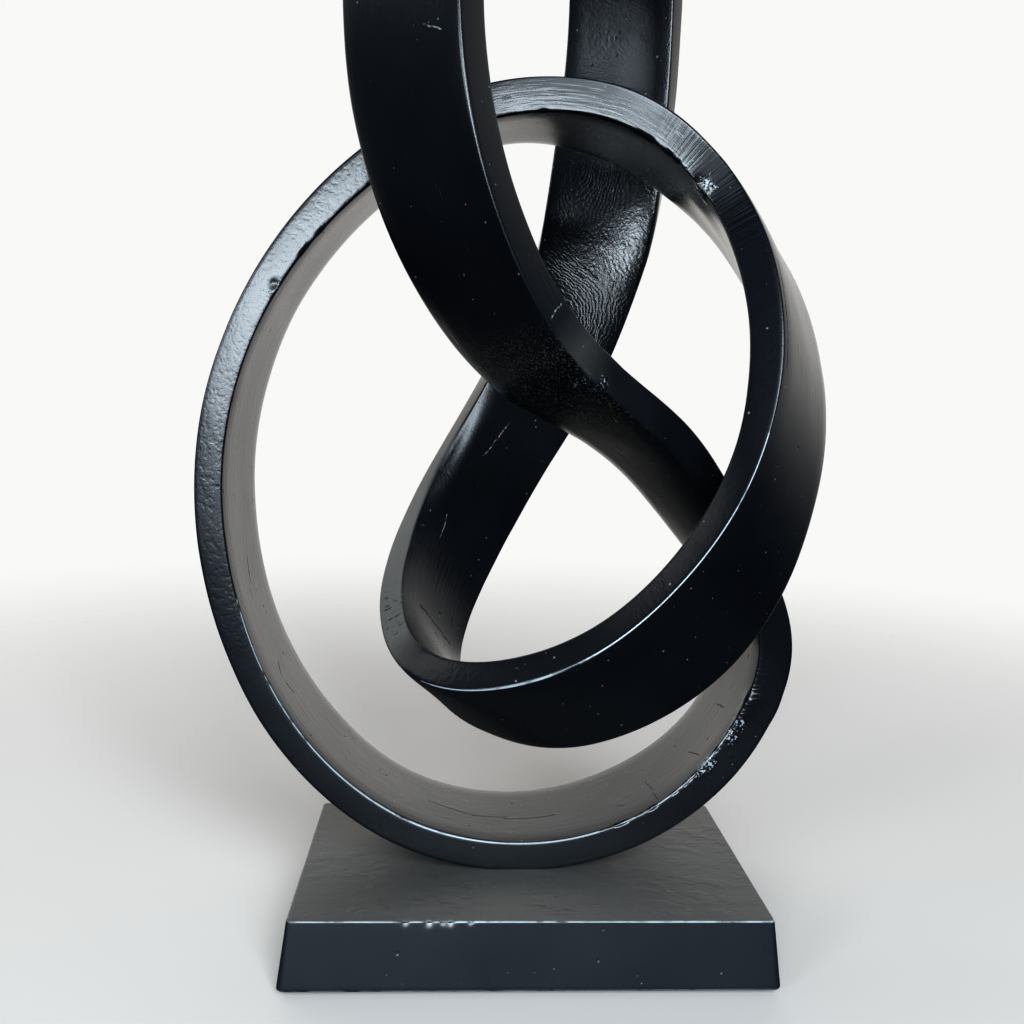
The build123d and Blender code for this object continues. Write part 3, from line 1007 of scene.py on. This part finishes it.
def worked_skin(bench, place, grain):
    """Height in metres of the ridges, ripples, file marks and brushing, each in its zone."""
    ridges, ripples = ridged_skin(bench, place), rippled_skin(bench, place)
    file_marks = grain.stretched(FILE_STRETCH).noise(*FILE_GRAIN) * kept(bench, "filed")
    streaked = kept(bench, "streaked")
    brushing = grain.stretched(BRUSH_STRETCH).noise(*BRISTLES) * streaked
    long_way = grain.stretched(DASH_STRETCH)
    dashes = (1 - long_way.cells(DASH_SPACING).rise(*DASH_RIM)) * long_way.patches(*DASH_PATCHES)
    height = ridges * RIDGE_DEPTH + file_marks * FILE_DEPTH + brushing * BRUSH_DEPTH
    return height + ripples * RIPPLE_DEPTH - dashes * streaked * DASH_DEPTH


# %% [markdown]
# ## Colour, dust, wear and painted light
# Over the black lie other colours, each where a mask says so: grit in its zone, a paler grey in
# the dry zones that is dry paint and painted sheen, pale specks of dust everywhere, pale crests
# that are partly worn and partly painted highlight, and pale lines of painted highlight along
# some edges. The masks come from the zones that the mesh keeps, from the tables of lines and from
# noise.

# %% The colours of the paint
PAINT_DARK = (0.0028, 0.0038, 0.0056, 1)
PAINT_PALE = (0.0055, 0.0070, 0.0095, 1)
DUST = (0.110, 0.120, 0.125, 1)
GRIT = (0.060, 0.060, 0.048, 1)
# The paler grey of the dry zones: dry paint and painted sheen.
DRY_AND_SHEEN = (0.080, 0.076, 0.070, 1)
# Pale for scratches and chips worn through the coat, and for painted highlights and glints.
PALE_WEAR_AND_HIGHLIGHT = (0.24, 0.28, 0.30, 1)
# Painted sheen: the block's top is painted paler than its sides.
TOP_SHEEN = (0.074, 0.072, 0.068, 1)
SIDE_FILM = (0.011, 0.014, 0.018, 1)
SPECK_SPACING, SPECK_LUCK, SPECK_SPREAD, SPECK_EDGE = 0.0026, 0.46, 0.30, (0.0, 0.03)
GRIT_GRAINS = (0.0006, 0.0), (0.58, 0.72)
GRIT_PATCHES = (0.016, 2.0), (0.22, 0.52)
STROKE_STRETCH, STROKES = (1.0, 0.30, 0.30), ((0.0012, 2.0, 0.6), (0.30, 0.44))
DRY_AND_SHEEN_LIMITS = (0.1, 0.5)


def dust_specks(place):
    """Specks of dust of many sizes, some in every cell of a loose grid."""
    near, luck = place.cells(SPECK_SPACING), place.cells(SPECK_SPACING, out=1)
    return ((luck - SPECK_LUCK) * SPECK_SPREAD - near).rise(*SPECK_EDGE)


def knot_colour(bench, place, grain, cloud, dry_and_sheen):
    """The near-black coat under dust: gritty in one zone, paler in others as dry paint and painted
    sheen.
    """
    colour = cloud.mixed(PAINT_DARK, PAINT_PALE)
    grit = place.patches(*GRIT_GRAINS) * kept(bench, "dusty")
    colour = (grit * place.patches(*GRIT_PATCHES)).mixed(colour, GRIT)
    strokes = grain.stretched(STROKE_STRETCH).patches(*STROKES)
    strokes = 1 - (1 - strokes) * kept(bench, "filed")
    # Painted sheen as well as dry paint: the dry zones are painted a paler grey.
    colour = (dry_and_sheen * cloud.rise(*DRY_AND_SHEEN_LIMITS) * strokes).mixed(colour, DRY_AND_SHEEN)
    return dust_specks(place).mixed(colour, DUST)


print("darkest paint", PAINT_DARK[:3], "palest edge", PALE_WEAR_AND_HIGHLIGHT[:3])

# %% Masks of the lines, of the wear and of the painted highlights
CUT_EDGE, CUT_DEPTH = (0.00005, 0.00040), 0.000120
SCRATCH_EDGE, SCRATCH_RISE = (0.00008, 0.00030), CUT_DEPTH / 3
SPATTER_EDGE, SPATTER_DEPTH = (0.0006, 0.0028), 0.000300
SCRATCH_BREAKS, UNBROKEN = ((0.0014, 1.0), (0.40, 0.55)), 0.3
CREST_WEAR_AND_HIGHLIGHT, CREST_PATCHES, CREST_SHARE = (0.25, 0.8), ((0.006, 3.0, 0.6), (0.50, 0.64)), 0.06
HIGHLIGHT_STRETCH, HIGHLIGHT_PATCHES = (0.25, 1.0, 1.0), ((0.0020, 2.0, 0.6), (0.25, 0.52))
EDGE_HIGHLIGHT_RISE = (0.78, 1.0)
BEAD_TOPS, BEAD_GLINT_SHARE = (0.54, 0.64), 0.9


def line_masks(bench, place, grain):
    """1 on the cuts, on the scratches and in the spatter, and 0 away from them."""
    lines_grain = bent(bench, grain, LINE_BEND)
    cuts = 1 - from_lines(bench, lines_grain, SUNK_LINES).rise(*CUT_EDGE)
    scratches = 1 - from_lines(bench, lines_grain, PALE_LINES).rise(*SCRATCH_EDGE)
    scratches = scratches * (place.patches(*SCRATCH_BREAKS) * (1 - UNBROKEN) + UNBROKEN)
    spatter = 1 - from_lines(bench, lines_grain, SPATTER_LINES).rise(*SPATTER_EDGE)
    return cuts, scratches, spatter


def wear_and_highlights(bench, place, grain, beads, spatter):
    """Pale paint: worn crests with some painted highlight, painted highlight on edges and spatter.
    """
    # Crests: a little pale paint, partly wear and partly painted highlight on the rounded corners.
    pale_wear_and_highlight = kept(bench, "crest").rise(*CREST_WEAR_AND_HIGHLIGHT) * place.patches(*CREST_PATCHES) * CREST_SHARE
    pale_edge_highlight = grain.stretched(HIGHLIGHT_STRETCH).patches(*HIGHLIGHT_PATCHES)
    # Painted highlight: a pale, broken line along the edges of the edge_highlight zones.
    pale_wear_and_highlight = pale_wear_and_highlight + kept(bench, "edge_highlight").rise(*EDGE_HIGHLIGHT_RISE) * pale_edge_highlight
    # Painted glints: the tops of the spatter beads are painted pale.
    return pale_wear_and_highlight + beads.rise(*BEAD_TOPS) * spatter * BEAD_GLINT_SHARE


# %% The paint of the knot
CLOUD, BEAD_NOISE = (0.030, 3.0, 0.6), (0.0010, 1.0, 0.6)
KNOT_DIMPLES, BLOCK_DIMPLES = 0.15, 0.08
SCRATCH_SHARE, CUT_SHADE = 0.6, 0.8
KNOT_ROUGHNESS, BLOCK_ROUGHNESS = 0.23, 0.26
CLOUD_ROUGHNESS, PIT_ROUGHNESS = 0.08, 0.2
DRY_ROUGHNESS, CUT_ROUGHNESS, TOP_ROUGHNESS = 0.25, 0.3, 0.16


def make_knot_paint(name):
    """The paint of the band, which reads where on the band it is."""
    material, bench = new_material(name)
    place, grain = object_place(bench), band_place(bench)
    cloud, beads, dry_and_sheen = place.noise(*CLOUD), place.noise(*BEAD_NOISE), kept(bench, "dry_and_sheen")
    cuts, scratches, spatter = line_masks(bench, place, grain)
    height, pits = satin_skin(place, KNOT_DIMPLES + kept(bench, "dimpled"))
    height = height + worked_skin(bench, place, grain)
    height = height - cuts * CUT_DEPTH + scratches * SCRATCH_RISE
    height = height + beads * spatter * SPATTER_DEPTH
    pale = wear_and_highlights(bench, place, grain, beads, spatter).rise(0.0, 1.0) + scratches * SCRATCH_SHARE
    colour = knot_colour(bench, place, grain, cloud, dry_and_sheen)
    # Painted highlights and glints, and the pale of real scratches and wear, go into the colour
    # here.
    colour = pale.rise(0.0, 1.0).mixed(colour, PALE_WEAR_AND_HIGHLIGHT)
    # Painted shade: the cracks and cuts are painted in the darkest tone of the paint.
    colour = (cuts * CUT_SHADE).mixed(colour, PAINT_DARK)
    roughness = KNOT_ROUGHNESS + cloud * CLOUD_ROUGHNESS + pits * PIT_ROUGHNESS
    roughness = roughness + dry_and_sheen * DRY_ROUGHNESS + cuts * CUT_ROUGHNESS
    finish_material(bench, {"Base Color": colour, "Roughness": roughness}, height)
    print(name, len(material.node_tree.nodes), "nodes")
    return material


knot_paint = make_knot_paint("knot_paint")
weld_paint = make_knot_paint("weld_paint")

# %% [markdown]
# ## The same paint on the block
# The block's flat top was left as it came out of the sand. Low laps and folds run over it from
# side to side, and the top is painted paler than the sides, a painted sheen. A pale line of painted
# highlight runs along the edges, and the chips are rubbed pale.

# %% The paint of the block
LAP_STRETCH, LAPS, LAP_DEPTH = (0.75, 1.0, 1.0), (0.0015, 3.0, 0.6), 0.000120
FOLD_STRETCH, FOLDS = (0.60, 1.0, 1.0), ((0.0050, 2.0, 0.6), (0.42, 0.66))
FOLD_PATCHES, FOLD_DEPTH = ((0.030, 2.0, 0.5), (0.40, 0.65)), 0.000240
BLOCK_CLOUD = (0.040, 3.0, 0.6)
BLOCK_EDGE_HIGHLIGHT, EDGE_PATCHES, EDGE_SHARE = (0.1, 0.9), ((0.005, 2.0), (0.30, 0.50)), 0.8
CHIP_LIMITS = (0.25, 0.75)


def make_block_paint():
    """The block's paint: its cast top with laps and a painted sheen, and painted highlight edges.
    """
    material, bench = new_material("block_paint")
    place = object_place(bench)
    top, chip = kept(bench, "top"), kept(bench, "chip")
    height, pits = satin_skin(place, BLOCK_DIMPLES)
    laps = place.stretched(LAP_STRETCH).noise(*LAPS)
    folds = place.stretched(FOLD_STRETCH).patches(*FOLDS)
    patchy = place.patches(*FOLD_PATCHES)
    height = height + (laps * LAP_DEPTH + folds * patchy * FOLD_DEPTH) * top
    cloud = place.noise(*BLOCK_CLOUD)
    colour = cloud.mixed(PAINT_PALE, SIDE_FILM)
    # Painted sheen: the flat top is painted paler than the sides.
    colour = top.mixed(colour, TOP_SHEEN)
    colour = dust_specks(place).mixed(colour, DUST)
    # Painted highlight: a pale line along the block's edges. The chips below are rubbed pale.
    pale_edge_highlight = kept(bench, "edge").rise(*BLOCK_EDGE_HIGHLIGHT) * place.patches(*EDGE_PATCHES)
    colour = (pale_edge_highlight * EDGE_SHARE).mixed(colour, PALE_WEAR_AND_HIGHLIGHT)
    colour = chip.rise(*CHIP_LIMITS).mixed(colour, PALE_WEAR_AND_HIGHLIGHT)
    roughness = BLOCK_ROUGHNESS + cloud * CLOUD_ROUGHNESS + pits * PIT_ROUGHNESS
    roughness = roughness + top * TOP_ROUGHNESS
    finish_material(bench, {"Base Color": colour, "Roughness": roughness}, height)
    print("block_paint", len(material.node_tree.nodes), "nodes")
    return material


block_paint = make_block_paint()

# %% [markdown]
# ## Under the block
# The rubber sheet shows only as a dark line under the block, and it hides the two screws and their
# washers. All of these keep their CAD meshes and get a plain material.

# %% Rubber and steel under the block
RUBBER_DARK, RUBBER_PALE = (0.010, 0.010, 0.011, 1), (0.022, 0.022, 0.023, 1)
RUBBER_GRAIN, RUBBER_DEPTH, RUBBER_ROUGHNESS = (0.0009, 2.0), 0.00004, 0.85
ZINC_DARK, ZINC_PALE = (0.42, 0.43, 0.45, 1), (0.58, 0.58, 0.60, 1)
ZINC_CLOUD, ZINC_ROUGHNESS, ZINC_SPREAD = (0.004, 3.0), 0.28, 0.2
ZINC_GRAIN, ZINC_DEPTH = (0.0006, 1.0), 0.000004


def make_rubber():
    """Black sheet rubber with a fine cloth-pressed grain."""
    material, bench = new_material("sheet_rubber")
    grain = object_place(bench).noise(*RUBBER_GRAIN)
    values = {"Base Color": grain.mixed(RUBBER_DARK, RUBBER_PALE), "Roughness": RUBBER_ROUGHNESS}
    finish_material(bench, values, grain * RUBBER_DEPTH)
    return material


def make_screw_steel():
    """Zinc-plated steel, a little cloudy."""
    material, bench = new_material("screw_steel")
    place = object_place(bench)
    cloud = place.noise(*ZINC_CLOUD)
    colour, roughness = cloud.mixed(ZINC_DARK, ZINC_PALE), ZINC_ROUGHNESS + cloud * ZINC_SPREAD
    values = {"Base Color": colour, "Roughness": roughness, "Metallic": 1.0}
    finish_material(bench, values, place.noise(*ZINC_GRAIN) * ZINC_DEPTH)
    return material


rubber, screw_steel = make_rubber(), make_screw_steel()


# %% Give each piece its finish
def paint(piece, material):
    """Makes a material the only one of a piece."""
    piece.data.materials.clear()
    piece.data.materials.append(material)


for piece in castings.values():
    paint(piece, knot_paint)
for piece in welds.values():
    paint(piece, weld_paint)
paint(block, block_paint)
paint(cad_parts["base_sheet"], rubber)
for name in ("seat_screws", "seat_washers"):
    paint(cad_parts[name], screw_steel)
print("painted", len(castings) + len(welds) + 1, "skins and 3 plain pieces")

# %% [markdown]
# ## The room
# Black gloss shows little but what it reflects. So the room is laid out for the reflections:
# large soft lights in front and to the left give the blue-grey sheen on the ring's edge, the pale
# side behind gives the grey of the faces seen at a slant, and the rest stays dim and keeps the
# paint black. The floor is pale to the camera, but the gloss sees it dim, so that it doesn't wash
# out the black, and it fades away before it meets the background.

# %% The floor
FLOOR_REACH = 3.0
FADE_START, FADE_END = 0.12, 0.75
HIDDEN_START, HIDDEN_END = 0.21, 0.28
CORNER_SIGNS = [(-1, -1), (1, -1), (1, 1), (-1, 1)]
FLOOR_CLOUD, FLOOR_ROUGHNESS = (0.25, 2.0), 0.65
FLOOR_LOW, FLOOR_HIGH = (0.58, 0.545, 0.515, 1), (0.62, 0.585, 0.555, 1)
DIM_FRONT, DIM_BACK, DIM_LIMITS = (0.075, 0.075, 0.075, 1), (0.018, 0.018, 0.018, 1), (-0.35, 0.02)


def paint_floor():
    """Pale to the camera and dim to the gloss, and clear beyond the fade."""
    material, bench = new_material("floor")
    place = object_place(bench)
    pale = place.noise(*FLOOR_CLOUD).mixed(FLOOR_LOW, FLOOR_HIGH)
    back = bench.node("ShaderNodeSeparateXYZ", values={0: place}, out=1).rise(*DIM_LIMITS)
    seen = bench.node("ShaderNodeLightPath", out=0)
    colour = seen.mixed(back.mixed(DIM_FRONT, DIM_BACK), pale)
    far = bench.vector("LENGTH", place, out=1)
    near = 1 - far.rise(FADE_START, FADE_END) * seen
    near = near - far.rise(HIDDEN_START, HIDDEN_END) * (1 - seen)
    values = {"Base Color": colour, "Roughness": FLOOR_ROUGHNESS, "Alpha": near}
    finish_material(bench, values)
    return material


def make_floor():
    """A plain pale floor, which fades into the room some way off and isn't part of the object."""
    mesh = bpy.data.meshes.new("floor")
    corners = [(x * FLOOR_REACH, y * FLOOR_REACH, 0) for x, y in CORNER_SIGNS]
    mesh.from_pydata(corners, [], [(0, 1, 2, 3)])
    floor = add_object("floor", mesh)
    paint(floor, paint_floor())


make_floor()
print("floor fades out", FADE_END, "m from the middle")

# %% [markdown]
# ## The camera
# The camera stands where the photograph was taken from, close in front of the knot, at about half
# of its height and a little to the left of its middle. Its place, its turn and its lens were
# fitted to the straight edges of the block, so the render and the photograph can be laid over each
# other.

# %% The camera
CAMERA_PLACE = Vector((-0.0251, -0.3005, 0.1688))
CAMERA_FOCAL = 0.03445
CAMERA_YAW, CAMERA_PITCH, CAMERA_ROLL = radians(3.363), radians(6.765), radians(1.772)

forward = Vector(
    (
        sin(CAMERA_YAW) * cos(CAMERA_PITCH),
        cos(CAMERA_YAW) * cos(CAMERA_PITCH),
        -sin(CAMERA_PITCH),
    )
)
level_right = Vector((cos(CAMERA_YAW), -sin(CAMERA_YAW), 0))
right = level_right * cos(CAMERA_ROLL) + level_right.cross(forward) * sin(CAMERA_ROLL)
turn = Matrix((right, right.cross(forward), -forward)).transposed().to_4x4()
MILLIMETRES = 1000
camera = add_object("camera", bpy.data.cameras.new("camera"))
camera.data.lens = CAMERA_FOCAL * MILLIMETRES
camera.matrix_world = Matrix.Translation(CAMERA_PLACE) @ turn
bpy.context.scene.camera = camera
print("lens", round(camera.data.lens, 2), "mm")

# %% [markdown]
# ## Light and background
# The room isn't built. Its walls are one colour sum on the world, by the direction that a ray
# leaves in, and its windows are large rectangular lights that the camera doesn't see. A table
# gives each light its bearing and height in degrees, its size in metres, its brightness and its
# tint.


# %% The light of the room
WALL = (1.00, 0.985, 0.955, 1)
SIDE = (0.64, 0.63, 0.61, 1)
DIM = (0.045, 0.050, 0.057, 1)
DARK = (0.012, 0.012, 0.013, 1)
BACKGROUND = (0.665, 0.665, 0.66, 1)
WALL_BEARING, WALL_LIMITS = radians(103), (0.35, 0.80)
SIDE_BEARING, SIDE_LIMITS = radians(28), (0.55, 1.0)
HORIZON, CEILING, CEILING_SHARE = (-0.20, 0.10), (0.65, 0.95), 0.7
WALL_FOOT, WALL_FOOT_SHARE = (-0.66, -0.54), 0.7
DARK_LIMITS = (-0.35, -0.05)


def make_room():
    """Pale behind the object, grey to its right, dim in front, and plain pale to the camera."""
    world = bpy.data.worlds.new("room")
    world.use_nodes = True
    world.node_tree.nodes.clear()
    bench = Wire(world.node_tree)
    way = bench.node("ShaderNodeTexCoord", out=0)
    x, y, z = (bench.node("ShaderNodeSeparateXYZ", values={0: way}, out=i) for i in range(3))
    above = z.rise(*HORIZON) * (1 - z.rise(*CEILING) * CEILING_SHARE)
    wall = z.rise(*WALL_FOOT) * WALL_FOOT_SHARE + above * (1 - WALL_FOOT_SHARE)
    beside = (x * cos(SIDE_BEARING) + y * sin(SIDE_BEARING)).rise(*SIDE_LIMITS)
    behind = (x * cos(WALL_BEARING) + y * sin(WALL_BEARING)).rise(*WALL_LIMITS)
    colour = z.rise(*DARK_LIMITS).mixed(DARK, DIM)
    colour = (beside * above).mixed(colour, SIDE)
    colour = (behind * wall).mixed(colour, WALL)
    seen = bench.node("ShaderNodeLightPath", out=0)
    colour = seen.mixed(colour, BACKGROUND)
    glow = bench.node("ShaderNodeBackground", values={"Color": colour, "Strength": 1.0})
    bench.node("ShaderNodeOutputWorld", values={"Surface": glow})
    bpy.context.scene.world = world


LIGHT_DISTANCE = 1.6
DAYLIGHT, WARM = (0.82, 0.92, 1.0), (1.0, 0.97, 0.93)
LIGHTS = [
    ("low_window", -100, 7, (0.80, 0.46), 20, DAYLIGHT),
    ("high_window", -72, 29, (0.58, 0.95), 13, DAYLIGHT),
    ("left_window", -135, 13, (0.36, 0.50), 12, DAYLIGHT),
    ("ceiling", -106, 38, (0.90, 0.60), 1.4, DAYLIGHT),
    ("left_sky", 163, 36, (1.20, 0.60), 1.3, WARM),
]


def soft_light(name, bearing, height, size, radiance, colour):
    """A large rectangular light of a given brightness that looks at the middle of the knot."""
    bearing, height = radians(bearing), radians(height)
    middle = Vector((0, 0, KNOT_RISE / 2))
    away = Vector((cos(bearing) * cos(height), sin(bearing) * cos(height), sin(height)))
    data = bpy.data.lights.new(name, "AREA")
    data.shape = "RECTANGLE"
    data.size, data.size_y = size
    data.energy = radiance * pi * data.size * data.size_y
    data.color = colour
    light = add_object(name, data)
    light.location = middle + away * LIGHT_DISTANCE
    light.rotation_euler = (-away).to_track_quat("-Z", "Y").to_euler()
    light.visible_camera = False


make_room()
for light in LIGHTS:
    soft_light(*light)
print(len(LIGHTS), "soft lights")
bpy.context.scene.view_settings.view_transform = "Standard"
bpy.context.scene.view_settings.look = "High Contrast"
